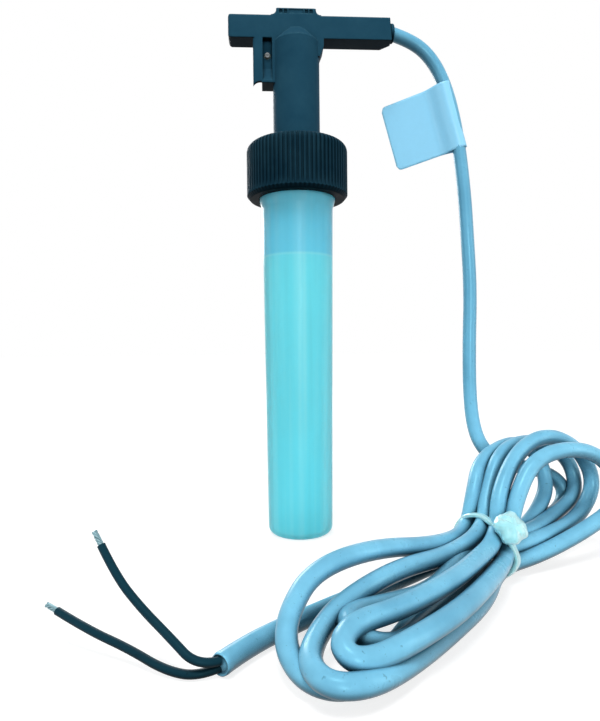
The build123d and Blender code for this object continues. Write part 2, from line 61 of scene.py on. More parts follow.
RIB_COUNT = 72
SLEEVE_STEP = 0.110

CAMERA_PLACE = (-0.01316, -0.231326, 0.07275)
CAMERA_RIGHT = (0.99823, -0.0586, -0.01031)
CAMERA_UP = (0.01123, 0.01525, 0.99982)
CAMERA_AHEAD = (0.05843, 0.99817, -0.01588)
CAMERA_LENS = 34.62
MIDDLE, STEM_MIDDLE, SLEEVE_MIDDLE = (0.03, -0.03, 0.09), (0.0, 0.0, 0.08), (0.0, 0.0, 0.09)
# Each lamp's name, place, aim, width, height and power
LAMPS = (
    ("key", (-0.08, -0.42, 0.95), MIDDLE, 0.30, 0.30, 5.4),
    ("fill", (0.05, -0.95, 0.22), MIDDLE, 0.16, 0.3, 3.4),
    ("back", (-0.30, 0.75, 0.45), STEM_MIDDLE, 0.4, 0.4, 4.0),
    ("strip_left", (-0.42, -0.30, 0.16), SLEEVE_MIDDLE, 0.03, 0.5, 0.5),
    ("strip_right", (0.50, -0.24, 0.18), SLEEVE_MIDDLE, 0.03, 0.5, 0.8),
)


# ---- Colours and sizes ----

def srgb(red, green, blue):
    """Turns a colour written in 0 to 255 display values into linear light."""
    channels = [value / 255 for value in (red, green, blue)]
    return tuple(c / 12.92 if c <= 0.04045 else ((c + 0.055) / 1.055) ** 2.4 for c in channels)


def colour(name, description, *display):
    return bpy.props.FloatVectorProperty(name=name, description=description, subtype="COLOR",
                                         size=3, min=0, max=1, default=srgb(*display))


def size(name, description, value):
    return bpy.props.FloatProperty(name=name, description=description, subtype="DISTANCE",
                                   unit="LENGTH", precision=5, default=value)


class DetectorColours(bpy.types.PropertyGroup):
    """Base colours of the finishes."""

    moulding: colour("Moulding", "Black moulded head and nut", 27, 66, 86)
    # Random tone and worn edges, and also painted highlight on up-facing edges.
    moulding_worn_and_lit: colour("Moulding, worn", "Paler rubbed edges of the mouldings", 84, 136, 154)
    sleeve: colour("Sleeve", "Milky wall of the protective sleeve", 140, 246, 255)
    jacket: colour("Cable jacket", "Clean outer jacket of the cable", 126, 200, 232)
    # Used for the soiled patches and also as painted shade in gaps, on undersides and higher up the cable.
    jacket_soil_and_shade: colour("Cable jacket, soiled", "Handled and soiled patches of the jacket", 86, 152, 185)
    core: colour("Core insulation", "Dark insulation of the two cores", 15, 50, 63)
    strand: colour("Tinned strands", "Bare tinned wires at the tips", 128, 160, 168)
    label: colour("Label film", "Film of the flag label", 146, 218, 252)
    tie: colour("Tie", "Clear soft tie and its knot", 190, 250, 255)
    seal: colour("Gasket", "Rubber ring under the flange", 20, 24, 26)
    steel: colour("Steel", "Blade, rivets, pin and screw", 176, 182, 184)
    brass: colour("Brass", "Tarnished insert round the screw", 58, 66, 62)
    glass: colour("Reed glass", "Glass of the reed capsule", 214, 234, 226)


class DetectorSizes(bpy.types.PropertyGroup):
    """Sizes of the pieces that stand for CAD nodes."""

    cable_diameter: size("Cable diameter", "Across the round jacket", 0.0053)
    cable_length: size("Cable length", "From the bar to the cut end", 1.60)
    core_diameter: size("Core diameter", "Across one insulated core", 0.00205)
    strand_diameter: size("Strand bundle diameter", "Across the seven twisted wires", 0.00135)
    tip_length: size("Bare tip length", "Stripped length of each core", 0.004)
    tie_half_width: size("Tie half width", "Half the tie's ring across the hank", 0.0111)
    tie_half_height: size("Tie half height", "Half the tie's ring up the hank", 0.0086)
    tie_band_width: size("Tie band width", "Width of the strip along the hank", 0.0025)
    tie_band_thickness: size("Tie band thickness", "Thickness of the strip", 0.0013)
    label_width: size("Label width", "From the cable to the flag's free edge", 0.0289)
    label_height: size("Label height", "Along the cable", 0.027)
    nut_radius: size("Nut radius", "Over the ribs", 0.020)
    rib_depth: size("Rib depth", "From a rib's top to the groove", 0.00055)


# ---- Node trees ----

def new_material(name):
    material = bpy.data.materials.new(name)
    material.use_nodes = True
    material.node_tree.nodes.clear()
    return material


def add(tree, kind, inputs=None, **settings):
    """Adds one shader node, sets its settings, and sets or links its inputs."""
    node = tree.nodes.new("ShaderNode" + kind)
    for key, value in settings.items():
        setattr(node, key, value)
    for key, value in (inputs or {}).items():
        if isinstance(value, bpy.types.NodeSocket):
            tree.links.new(value, node.inputs[key])
        else:
            node.inputs[key].default_value = value
    return node


def rgba(value):
    return (*value, 1.0)


def darker(base, share):
    """A colour with only a share of its light."""
    return tuple(c * share for c in base)


def noise(tree, scale, detail=3.0, roughness=0.5, vector=None):
    """Fractal noise on the object's own coordinates, scale in waves per metre."""
    if vector is None:
        vector = add(tree, "TexCoord").outputs["Object"]
    return add(tree, "TexNoise", {"Vector": vector, "Scale": scale, "Detail": detail,
                                  "Roughness": roughness}).outputs["Fac"]


def remap(tree, value, low, high, to_low, to_high):
    return add(tree, "MapRange", {"Value": value, "From Min": low, "From Max": high,
                                  "To Min": to_low, "To Max": to_high}).outputs["Result"]


def mix_colour(tree, share, first, second):
    node = add(tree, "Mix", data_type="RGBA")
    for socket, value in ((node.inputs[0], share), (node.inputs[6], first), (node.inputs[7], second)):
        if isinstance(value, bpy.types.NodeSocket):
            tree.links.new(value, socket)
        else:
            socket.default_value = value
    return node.outputs[2]


def maths(tree, operation, first, second=0.0):
    return add(tree, "Math", {0: first, 1: second}, operation=operation).outputs[0]


def height_of(tree):
    """Height of a point above the surface that the detector stands on."""
    place = add(tree, "TexCoord").outputs["Object"]
    return add(tree, "SeparateXYZ", {0: place}).outputs[2]


def edge_share(tree, radius):
    """How far a point lies on an edge: one less the agreement of the true and the softened normal."""
    soft = add(tree, "Bevel", {"Radius": radius}, samples=4).outputs[0]
    true = add(tree, "NewGeometry").outputs["Normal"]
    dot = add(tree, "VectorMath", {0: soft, 1: true}, operation="DOT_PRODUCT").outputs["Value"]
    return remap(tree, dot, 0.998, 0.86, 0.0, 1.0)


def crevice(tree, reach, low, high):
    """How open a point is to its surroundings: 0 deep in a gap that is narrower than reach, 1 in the open."""
    open_share = add(tree, "AmbientOcclusion", {"Distance": reach}, samples=8).outputs["AO"]
    return remap(tree, open_share, low, high, 0.0, 1.0)


def painted_underside_shade(tree, low, high, least):
    """Share that falls to least where the surface looks down, for painted shade on undersides."""
    normal = add(tree, "NewGeometry").outputs["Normal"]
    return remap(tree, add(tree, "SeparateXYZ", {0: normal}).outputs[2], low, high, least, 1.0)


def seen_share(tree):
    """One where the camera, a gloss or a clear wall looks at a surface, nought for the light it gives."""
    path = add(tree, "LightPath")
    through_clear = maths(tree, "MAXIMUM", path.outputs["Is Glossy Ray"], path.outputs["Is Transmission Ray"])
    return maths(tree, "MAXIMUM", path.outputs["Is Camera Ray"], through_clear)


def output(tree, shader):
    add(tree, "OutputMaterial", {"Surface": shader})


# ---- Finishes ----


def moulded_finish(name, base, worn_and_lit, grain=0.0003, roughness=0.52, bevel=0.00025):
    """Injection-moulded matt plastic: fine spark-eroded grain, faint flow clouds, worn edges that are paler
    mostly where they face up as painted highlight, and painted shade in gaps and on undersides.
    """
    material = new_material(name)
    tree = material.node_tree
    clouds = noise(tree, 90, 4, 0.6)
    grain_noise = noise(tree, 1 / grain, 2, 0.6)
    edge = edge_share(tree, bevel * 1.2)
    scuff = maths(tree, "MULTIPLY", edge, remap(tree, noise(tree, 700, 3), 0.35, 0.65, 0.15, 0.8))
    tone = mix_colour(tree, remap(tree, clouds, 0.3, 0.7, 0.0, 0.08), rgba(base), rgba(worn_and_lit))
    soft = add(tree, "Bevel", {"Radius": bevel}, samples=6).outputs[0]
    # Worn edges are paler mostly where they face up; that up-facing share is painted highlight.
    lit_from_above = remap(tree, add(tree, "SeparateXYZ", {0: soft}).outputs[2], 0.1, 0.6, 0.12, 1.0)
    tone = mix_colour(tree, maths(tree, "MULTIPLY", scuff, lit_from_above), tone, rgba(worn_and_lit))
    # Painted shade: darker deep in grooves and in gaps between parts.
    tone = mix_colour(tree, crevice(tree, 0.0016, 0.35, 0.9), rgba(darker(base, 0.22)), tone)
    # Painted shade: darker on surfaces that face down.
    tone = mix_colour(tree, painted_underside_shade(tree, -0.75, 0.05, 0.0), rgba(darker(base, 0.12)), tone)
    bump = add(tree, "Bump", {"Strength": 0.16, "Distance": 0.00012, "Height": grain_noise, "Normal": soft})
    shader = add(tree, "BsdfPrincipled", {
        "Base Color": tone,
        "Roughness": remap(tree, clouds, 0.3, 0.7, roughness - 0.04, roughness + 0.05),
        "Specular IOR Level": 0.06, "IOR": 1.3, "Specular Tint": rgba(srgb(96, 190, 205)),
        "Normal": bump.outputs[0],
    })
    output(tree, shader.outputs[0])
    return material


def sleeve_finish(name, base):
    """Milky translucent plastic: light comes through it softened, under a satin skin. It carries painted
    shade above the inner step, a painted bright line at the step, and vertical streaks whose pale ones are
    painted reflection.
    """
    material = new_material(name)
    tree = material.node_tree
    drift = noise(tree, 30, 3, 0.55)
    fine = noise(tree, 1800, 2, 0.6)
    tone = mix_colour(tree, remap(tree, drift, 0.3, 0.7, 0.0, 0.2), rgba(base),
                      rgba(darker(base, 0.86)))
    bump = add(tree, "Bump", {"Strength": 0.05, "Distance": 0.0001, "Height": fine})
    height = height_of(tree)
    # Share of painted shade above the inner step, where the nut shades the sleeve.
    thin = remap(tree, height, SLEEVE_STEP - 0.0004, SLEEVE_STEP + 0.0008, 0.0, 0.4)
    # Vertical streaks along the wall: the dark ones are random tone, the pale ones are painted reflection
    # streaks.
    streaks = add(tree, "Mapping", {0: add(tree, "TexCoord").outputs["Object"], 3: (260.0, 260.0, 4.0)})
    streaks_and_sheen = add(tree, "TexNoise", {"Vector": streaks.outputs[0], "Scale": 1.0, "Detail": 2.0}).outputs[0]
    tone = mix_colour(tree, remap(tree, streaks_and_sheen, 0.5, 0.72, 0.0, 0.34), tone, rgba(srgb(196, 255, 255)))
    tone = mix_colour(tree, remap(tree, streaks_and_sheen, 0.28, 0.46, 0.35, 0.0), tone, rgba(darker(base, 0.72)))
    # Painted shade: darker and bluer above the inner step.
    tone = mix_colour(tree, thin, tone, rgba(srgb(122, 208, 246)))
    # Painted highlight: a bright line at the inner step.
    ledge = maths(tree, "MULTIPLY",
                  remap(tree, height, SLEEVE_STEP - 0.0008, SLEEVE_STEP - 0.0002, 0.0, 0.35),
                  remap(tree, height, SLEEVE_STEP, SLEEVE_STEP + 0.0006, 1.0, 0.0))
    tone = mix_colour(tree, ledge, tone, rgba(srgb(190, 250, 255)))
    clear = add(tree, "BsdfPrincipled", {
        "Base Color": rgba(srgb(226, 249, 253)), "Roughness": 0.22, "IOR": 1.03, "Transmission Weight": 1.0,
        "Specular IOR Level": 0.0, "Normal": bump.outputs[0],
    })
    matt = add(tree, "BsdfDiffuse", {"Color": tone})
    glow = add(tree, "BsdfTranslucent", {"Color": tone})
    milk = add(tree, "MixShader", {0: 0.42, 1: matt.outputs[0], 2: glow.outputs[0]})
    mixed = add(tree, "MixShader", {0: 0.8, 1: clear.outputs[0], 2: milk.outputs[0]})
    gloss = add(tree, "BsdfGlossy", {"Color": (1, 1, 1, 1), "Roughness": 0.3})
    rim = add(tree, "Fresnel", {"IOR": 1.18})
    skin = add(tree, "MixShader", {0: rim.outputs[0], 1: mixed.outputs[0], 2: gloss.outputs[0]})
    output(tree, skin.outputs[0])
    return material


def jacket_finish(name, base, shade, along=True, roughness=0.28, shine=0.5):
    """Extruded soft plastic: faint drawing lines along it, small soiled patches and specks, with painted
    shade in gaps between strands, on undersides and higher up above the hank.
    """
    material = new_material(name)
    tree = material.node_tree
    patches = noise(tree, 55, 4, 0.62)
    specks = noise(tree, 900, 2, 0.7)
    soil = remap(tree, patches, 0.42, 0.72, 0.0, 0.55)
    tone = mix_colour(tree, soil, rgba(base), rgba(shade))
    tone = mix_colour(tree, remap(tree, specks, 0.66, 0.74, 0.0, 0.5), tone,
                      rgba(darker(shade, 0.55)))
    # Painted shade: the jacket is darker higher up, above the hank.
    height = height_of(tree)
    hank_top, clear_of_hank = 0.035, 0.09
    tone = mix_colour(tree, remap(tree, height, hank_top, clear_of_hank, 0.0, 0.55), tone, rgba(shade))
    # Painted shade: darker deep in the gaps between strands.
    tone = mix_colour(tree, crevice(tree, 0.014, 0.26, 0.84), rgba(darker(shade, 0.22)), tone)
    # Painted shade: darker on the undersides of the strands.
    tone = mix_colour(tree, painted_underside_shade(tree, -0.85, 0.0, 0.15), rgba(darker(shade, 0.2)), tone)
    relief = noise(tree, 2600, 2, 0.6)
    if along:
        uv = add(tree, "TexCoord").outputs["UV"]
        lanes = add(tree, "Mapping", {"Vector": uv, "Scale": (3.0, 34.0, 1.0)}).outputs[0]
        lines = noise(tree, 1.0, 2, 0.5, lanes)
        relief = maths(tree, "ADD", maths(tree, "MULTIPLY", lines, 0.35),
                       maths(tree, "MULTIPLY", relief, 0.5))
    bump = add(tree, "Bump", {"Strength": 0.18, "Distance": 0.00012, "Height": relief})
    shader = add(tree, "BsdfPrincipled", {
        "Base Color": tone, "Roughness": remap(tree, patches, 0.3, 0.7, roughness - 0.04, roughness + 0.08),
        "Specular Tint": rgba(srgb(150, 214, 228)), "Specular IOR Level": shine, "Normal": bump.outputs[0],
    })
    output(tree, shader.outputs[0])
    return material


def metal_finish(name, base, roughness=0.3, scale=1500, metallic=1.0):
    """Drawn or turned metal with fine uneven gloss."""
    material = new_material(name)
    tree = material.node_tree
    grain = noise(tree, scale, 3, 0.6)
    tone = mix_colour(tree, remap(tree, grain, 0.3, 0.7, 0.0, 0.35), rgba(base),
                      rgba(darker(base, 0.72)))
    bump = add(tree, "Bump", {"Strength": 0.1, "Distance": 0.00005, "Height": grain})
    shader = add(tree, "BsdfPrincipled", {
        "Base Color": tone, "Metallic": metallic, "Normal": bump.outputs[0],
        "Roughness": remap(tree, grain, 0.3, 0.7, roughness - 0.08, roughness + 0.1),
    })
    output(tree, shader.outputs[0])
    return material


def glass_finish(name, base):
    """Drawn glass with slight waves."""
    material = new_material(name)
    tree = material.node_tree
    waves = noise(tree, 300, 2, 0.4)
    bump = add(tree, "Bump", {"Strength": 0.08, "Distance": 0.0001, "Height": waves})
    shader = add(tree, "BsdfPrincipled", {
        "Base Color": rgba(base), "Roughness": 0.05, "Transmission Weight": 0.95, "IOR": 1.5,
        "Normal": bump.outputs[0],
    })
    output(tree, shader.outputs[0])
    return material


def film_finish(name, base):
    """Coated label film: a smooth sheen over faint fibres."""
    material = new_material(name)
    tree = material.node_tree
    fibres = noise(tree, 420, 4, 0.65)
    tone = mix_colour(tree, remap(tree, fibres, 0.35, 0.68, 0.0, 0.12), rgba(base),
                      rgba(darker(base, 0.8)))
    bump = add(tree, "Bump", {"Strength": 0.05, "Distance": 0.0001, "Height": noise(tree, 160, 2)})
    shader = add(tree, "BsdfPrincipled", {
        "Base Color": tone, "Roughness": 0.38, "Specular IOR Level": 0.45, "Normal": bump.outputs[0],
    })
    output(tree, shader.outputs[0])
    return material


def tie_finish(name, base):
    """Soft clear plastic, cloudy in random patches."""
    material = new_material(name)
    tree = material.node_tree
    cloud = noise(tree, 500, 3, 0.6)
    tone = mix_colour(tree, remap(tree, cloud, 0.35, 0.7, 0.0, 0.3), rgba(base),
                      rgba(darker(base, 0.78)))
    bump = add(tree, "Bump", {"Strength": 0.25, "Distance": 0.0002, "Height": noise(tree, 900, 3)})
    shader = add(tree, "BsdfPrincipled", {
        "Base Color": tone, "Roughness": 0.3, "Transmission Weight": 0.3, "IOR": 1.35,
        "Specular IOR Level": 0.5, "Normal": bump.outputs[0],
    })
    output(tree, shader.outputs[0])
    return material


# ---- Surfaces ----

class Shell:
    """Collects patches of quads, and makes one mesh object of them."""

    def __init__(self):
        self.points, self.faces, self.count = [], [], 0

    def patch(self, points, close_rows=False, close_columns=False):
        """Adds a grid of points, rows by columns, with a quad between each four neighbours."""
        points = np.asarray(points, float)
        rows, columns = points.shape[:2]
        r, c = np.meshgrid(np.arange(rows if close_rows else rows - 1),
                           np.arange(columns if close_columns else columns - 1), indexing="ij")
        r2, c2 = (r + 1) % rows, (c + 1) % columns
        quads = np.stack([r * columns + c, r * columns + c2, r2 * columns + c2, r2 * columns + c], -1)
        quads = quads.reshape(-1, 4) + self.count
        self.faces.append(quads)
        self.points.append(points.reshape(-1, 3))
        self.count += rows * columns

    def make(self, name, material, sharp=35.0):
        points, faces = np.concatenate(self.points), np.concatenate(self.faces)
        mesh = bpy.data.meshes.new(name)
        mesh.vertices.add(len(points))
        mesh.vertices.foreach_set("co", points.ravel())
        mesh.loops.add(faces.size)
        mesh.loops.foreach_set("vertex_index", faces.ravel())
        mesh.polygons.add(len(faces))
        mesh.polygons.foreach_set("loop_start", np.arange(0, faces.size, 4))
        mesh.polygons.foreach_set("use_smooth", np.ones(len(faces), bool))
        mesh.update(calc_edges=True)
        mesh.validate()
        mesh.set_sharp_from_angle(angle=math.radians(sharp))
        mesh.materials.append(material)
        thing = bpy.data.objects.new(name, mesh)
        bpy.context.scene.collection.objects.link(thing)
        return thing


def turned(profile, steps, radius_at=None):
    """Revolves a profile of (radius, height) about the Z axis: x = r cos a, y = r sin a, z = h."""
    angle = np.linspace(0, 2 * np.pi, steps, endpoint=False)
    profile = np.asarray(profile, float)
    radius = np.repeat(profile[:, :1], steps, 1)
    if radius_at is not None:
        radius = radius_at(radius, profile[:, 1:], angle[None])
    return np.stack([radius * np.cos(angle), radius * np.sin(angle),
                     np.repeat(profile[:, 1:], steps, 1)], -1)


def rounded(corners, radii, steps=5):
    """A polyline of (radius, height) corners with arcs in place of those corners that have a radius."""
    corners = [np.array(c, float) for c in corners]
    made = []
    for i, corner in enumerate(corners):
        r = radii[i]
        if not r or i in (0, len(corners) - 1):
            made.append(corner)
            continue
        before, after = corners[i - 1] - corner, corners[i + 1] - corner
        before, after = before / np.linalg.norm(before), after / np.linalg.norm(after)
        half = math.acos(np.clip(before @ after, -1, 1)) / 2
        middle = corner + (before + after) / np.linalg.norm(before + after) * r / math.sin(half)
        start, end = corner + before * r / math.tan(half), corner + after * r / math.tan(half)
        for share in np.linspace(0, 1, steps):
            a, b = start - middle, end - middle
            turn = math.acos(np.clip(a @ b / r / r, -1, 1))
            swung = math.sin((1 - share) * turn) * a + math.sin(share * turn) * b
            made.append(middle + swung / math.sin(turn))
    return made


def divided(profile, steps_for):
    """A profile whose runs are cut into equal steps, as many as steps_for gives for a run's length."""
    made = [profile[0]]
    for a, b in zip(profile, profile[1:]):
        steps = steps_for(np.linalg.norm(b - a))
        made += [a + (b - a) * k / steps for k in range(1, steps + 1)]
    return made


def spline(name, points, diameter, material, rings=6, between=6):
    """A tube round one open NURBS spline of order 3, which starts and ends on its end points."""
    curve = bpy.data.curves.new(name, "CURVE")
    curve.dimensions = "3D"
    curve.resolution_u = between
    curve.bevel_depth = 1.0
    curve.bevel_resolution = rings
    curve.use_fill_caps = True
    line = curve.splines.new("NURBS")
    line.points.add(len(points) - 1)
    line.points.foreach_set("co", [value for point in points for value in (*point, 1.0)])
    line.points.foreach_set("radius", [diameter / 2] * len(points))
    line.order_u = 3
    line.use_endpoint_u = True
    curve.materials.append(material)
    thing = bpy.data.objects.new(name, curve)
    bpy.context.scene.collection.objects.link(thing)
    return thing


def read_line(thing):
    """The points that Blender puts along a spline, read from its curve with no bevel."""
    depth = thing.data.bevel_depth
    thing.data.bevel_depth = 0
    bpy.context.view_layer.update()
    mesh = bpy.data.meshes.new_from_object(thing.evaluated_get(bpy.context.evaluated_depsgraph_get()))
    points = np.zeros(len(mesh.vertices) * 3)
    mesh.vertices.foreach_get("co", points)
    bpy.data.meshes.remove(mesh)
    thing.data.bevel_depth = depth
    return points.reshape(-1, 3)


def unit(vector):
    vector = np.asarray(vector, float)
    return vector / np.linalg.norm(vector)


# ---- The cable's route: the free stretches as in the CAD, and the hank's turns between them ----

DROP_ROUTE = [
    (0.0384, 0.0, 0.1999), (0.0466, 0.0008, 0.1979), (0.055, 0.0014, 0.1916), (0.0612, 0.0014, 0.1798),
    (0.0656, 0.0011, 0.161), (0.0681, 0.0005, 0.1384), (0.0692, -0.0001, 0.1173), (0.0702, -0.0003, 0.0964),
    (0.0693, -0.0009, 0.0745), (0.0685, -0.0035, 0.053), (0.0682, -0.0095, 0.04), (0.071, -0.014, 0.033),
]
TAIL_END = (-0.024, -0.1024, 0.0029)
CORE_ROUTE_1 = [
    (-0.0241, -0.1019, 0.002), (-0.0288, -0.1039, 0.0011), (-0.0365, -0.1016, 0.0015),
    (-0.046, -0.0956, 0.0038), (-0.0566, -0.0909, 0.0063), (-0.0656, -0.0859, 0.009),
]
CORE_ROUTE_2 = [
    (-0.0242, -0.1028, 0.0039), (-0.029, -0.1052, 0.004), (-0.0356, -0.1001, 0.0082),
    (-0.0433, -0.0947, 0.013), (-0.0496, -0.0916, 0.0193), (-0.0539, -0.0886, 0.026),
]
TIE_CENTRE = np.array((0.0564, -0.0511, 0.0101))
TIE_ACROSS = np.array((0.533, -0.751, -0.39))
TIE_UP = np.array((0.151, -0.369, 0.917))
TIE_ALONG = np.array((0.833, 0.547, 0.083))
KNOT_CENTRE = np.array((0.0607, -0.060, 0.0181))
KNOT_AXIS = (0.10, -0.80, 0.60)
KNOT_RADIUS, KNOT_FLATNESS = 0.0050, 0.6
LABEL_CENTRE = np.array((0.06308, 0.00115, 0.1677))
LABEL_UP = (-0.263, -0.002, 0.965)
LABEL_ACROSS = np.array((0.901, -0.358, 0.245))
LYING = np.array((-0.815, -0.58, 0)), np.array((-0.58, 0.815, 0))
STANDING = np.array((0.92, 0.39, 0)), np.array((-0.39, 0.92, 0))


def lie(*guides):
    """Guides of a lobe that lies to the left of the tie: along it, across it and up, in mm."""
    base = np.array((TIE_CENTRE[0], TIE_CENTRE[1], 0))
    return [base + (LYING[0] * a + LYING[1] * c + np.array((0, 0, u))) / 1000 for a, c, u in guides]


def stand(*guides):
    """Guides of a lobe that stands up behind the tie: along it, across it and up, in mm."""
    base = np.array((TIE_CENTRE[0], TIE_CENTRE[1], 0))
    return [base + (STANDING[0] * a + STANDING[1] * c + np.array((0, 0, u))) / 1000 for a, c, u in guides]


def through(across, up):
    """One guide where a strand passes through the tie: across its ring and up in it, in mm."""
    return [TIE_CENTRE + (TIE_ACROSS * across + TIE_UP * up) / 1000]


def hank_guides():
    """The hank's four and a half turns: each goes out left along the surface, back through the tie,
    and round a standing lobe on the right. Every turn is worked out from its own lobe guides."""
    return [
        (0.078, -0.014, 0.028), (0.09, -0.016, 0.027), (0.1, -0.017, 0.0215), (0.0985, -0.02, 0.0135),
        (0.0865, -0.0275, 0.01), (0.072, -0.0365, 0.005),
        *through(-4, -6),
        *lie((20, -0.5, 2.8), (46.5, -9.5, 3.5), (70, -19, 2.8), (80, -20.5, 2.8), (86, -14.5, 4),
             (85, -5.5, 6.5), (80, 0, 11.5), (68.5, 4.5, 17.5), (49.5, 2.5, 19.5), (23, 1.5, 14.5)),
        *through(-7.5, -1),
        *stand((3.5, 9, 24.5), (12, 15, 34), (29.5, 18, 38.5), (41.5, 17.5, 35.5), (45, 14, 22.5),
               (35.5, 10.5, 13.5), (19, 5.5, 8.5)),
        *through(1, -6),
        *lie((19.5, -6.5, 4), (44, -14, 5.5), (62, -19.5, 6), (70.5, -18, 8), (72, -11.5, 10.5),
             (66, -6.5, 10), (54, -6.5, 8.5), (37, -8, 7.5), (18, -3, 11)),
        *through(-2.5, -1.5),
        *stand((19.5, 1, 10.5), (39, 7, 12.5), (54.5, 9, 18), (55.5, 13, 30.5), (40.5, 14, 39),
               (19, 11.5, 38.5), (7, 7, 24.5)),
        *through(-2, 4),
        *lie((20.5, -1.5, 12), (46, -3, 14.5), (66, -3, 11), (80, -9, 8.5), (86, -15, 7), (85.5, -22, 6),
             (78, -25.5, 5.5), (64, -23.5, 4), (46, -19.5, 2.8), (22, -14.5, 3)),
        *through(6, -4.5),
        *stand((19, -5, 5.5), (39, -6.5, 11), (54.5, -7, 17), (55.5, -5.5, 30.5), (38, -5.5, 39.5),
               (19.5, -2, 37), (7.5, -4.5, 23.5)),
        *through(7.5, 1),
        *lie((18, -15, 9.5), (45, -23.5, 10.5), (65, -24.5, 9.5), (74.5, -23.2, 8.5), (79.5, -21, 9),
             (79.3, -17, 11), (72.5, -14.8, 12.5), (60, -16.5, 12.5), (43, -16.5, 13.5), (25, -12.5, 13.5)),
        *through(3, 4.5),
        *stand((5.5, 0, 26.5), (20.5, 5, 39), (34, 4, 43), (50.5, 5, 36), (57.5, 3.5, 23),
               (46, 2, 11.5), (23, -1.5, 9)),
        *through(2.5, -1),
        *lie((13, 4.5, 8), (27, 10, 3.5), (45.5, 11, 3), (70, 10, 2.8), (86.5, 8, 2.8)),
    ]


# ---- Operators ----

class DETECTOR_OT_cable(bpy.types.Operator):
    """Lays the cable: down from the bar, four and a half turns through the tie, and out to its cut end"""

    bl_idname = "detector.cable"
    bl_label = "Cable"

    def execute(self, context):
        sizes, colours = context.scene.detector_sizes, context.scene.detector_colours
        finish = jacket_finish("cable_jacket", colours.jacket, colours.jacket_soil_and_shade)
        cable = spline("cable", [*DROP_ROUTE, *hank_guides(), TAIL_END], sizes.cable_diameter, finish,
                       rings=6, between=8)
        end = self.cut_end(read_line(cable), sizes, finish)
        for piece in (cable, end):
            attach(piece, "head")
        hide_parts("cable_drop", "cable_coil", "cable_tail")
        return {"FINISHED"}

    def cut_end(self, line, sizes, finish):
        """The cut jacket's ring and the filler in it: rings of radius r at depth d along the cable."""
        along = unit(line[-1] - line[-2])
        side = unit(np.cross(along, (0, 0, 1)))
        up = np.cross(side, along)
        r = sizes.cable_diameter / 2
        rings = ((1.0, -0.0012), (1.01, -0.0003), (0.985, 0.0003), (0.90, 0.0005), (0.78, 0.0004),
                 (0.73, 0.0002), (0.70, -0.0001), (0.60, 0.0001), (0.35, 0.0003), (0.0, 0.00035))
        turn = np.linspace(0, 2 * np.pi, 40, endpoint=False)
        grid = []
        for share, depth in rings:
            rough = 1 + 0.012 * np.sin(5 * turn + 9 * share) + 0.008 * np.sin(11 * turn + 3 * share)
            grid.append(line[-1] + along * depth + (share * r * rough * np.cos(turn))[:, None] * side
                        + (share * r * rough * np.sin(turn))[:, None] * up)
        shell = Shell()
        shell.patch(np.array(grid), close_columns=True)
        return shell.make("cable_cut_end", finish, 50)


class DETECTOR_OT_cores(bpy.types.Operator):
    """Lays the two thin cores that leave the cut jacket, and twists the bare strands at their ends"""

    bl_idname = "detector.cores"
    bl_label = "Cores"

    def execute(self, context):
        sizes, colours = context.scene.detector_sizes, context.scene.detector_colours
        finish = jacket_finish("core_jacket", colours.core, darker(colours.core, 0.6),
                               roughness=0.45, shine=0.12)
        bare = metal_finish("tinned_copper", colours.strand, 0.45, 4000, 0.7)
        for number, route in (("1", CORE_ROUTE_1), ("2", CORE_ROUTE_2)):
            core = spline("core_" + number + "_line", route, sizes.core_diameter, finish, rings=4, between=8)
            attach(core, "head")
            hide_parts("core_" + number)
            ends = read_line(core)
            tip = self.strands("core_" + number + "_strands", ends[-1], unit(ends[-1] - ends[-2]),
                               sizes.tip_length, sizes.strand_diameter, bare)
            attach(tip, "head")
            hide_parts("core_tip_" + number)
        return {"FINISHED"}

    def strands(self, name, start, along, length, width, finish):
        """Seven fine wires: six wind once round the seventh, p = start + s l + r (u cos a + v sin a)."""
        side = unit(np.cross(along, (0, 0, 1)))
        up = np.cross(side, along)
        shell = Shell()
        thin = width / 6
        share = np.linspace(-0.08, 1, 25)
        ring = np.linspace(0, 2 * np.pi, 8, endpoint=False)
        for i in range(7):
            turn = share * 4.2 + i * math.pi / 3
            out = 0 if i == 6 else (width / 2 - thin) * (1 + 0.08 * np.sin(3 * share + i))
            end = share * length * (1 - 0.05 * ((i * 5) % 3))
            line = start + end[:, None] * along
            line = line + (out * np.cos(turn))[:, None] * side + (out * np.sin(turn))[:, None] * up
            taper = np.where(share > 0.93, np.sqrt(np.clip(1 - ((share - 0.93) / 0.07) ** 2, 0, 1)), 1.0)
            r = thin * 1.15 * taper
            shell.patch(line[:, None] + r[:, None, None] * (
                np.cos(ring)[None, :, None] * side + np.sin(ring)[None, :, None] * up),
                close_columns=True)
        return shell.make(name, finish)


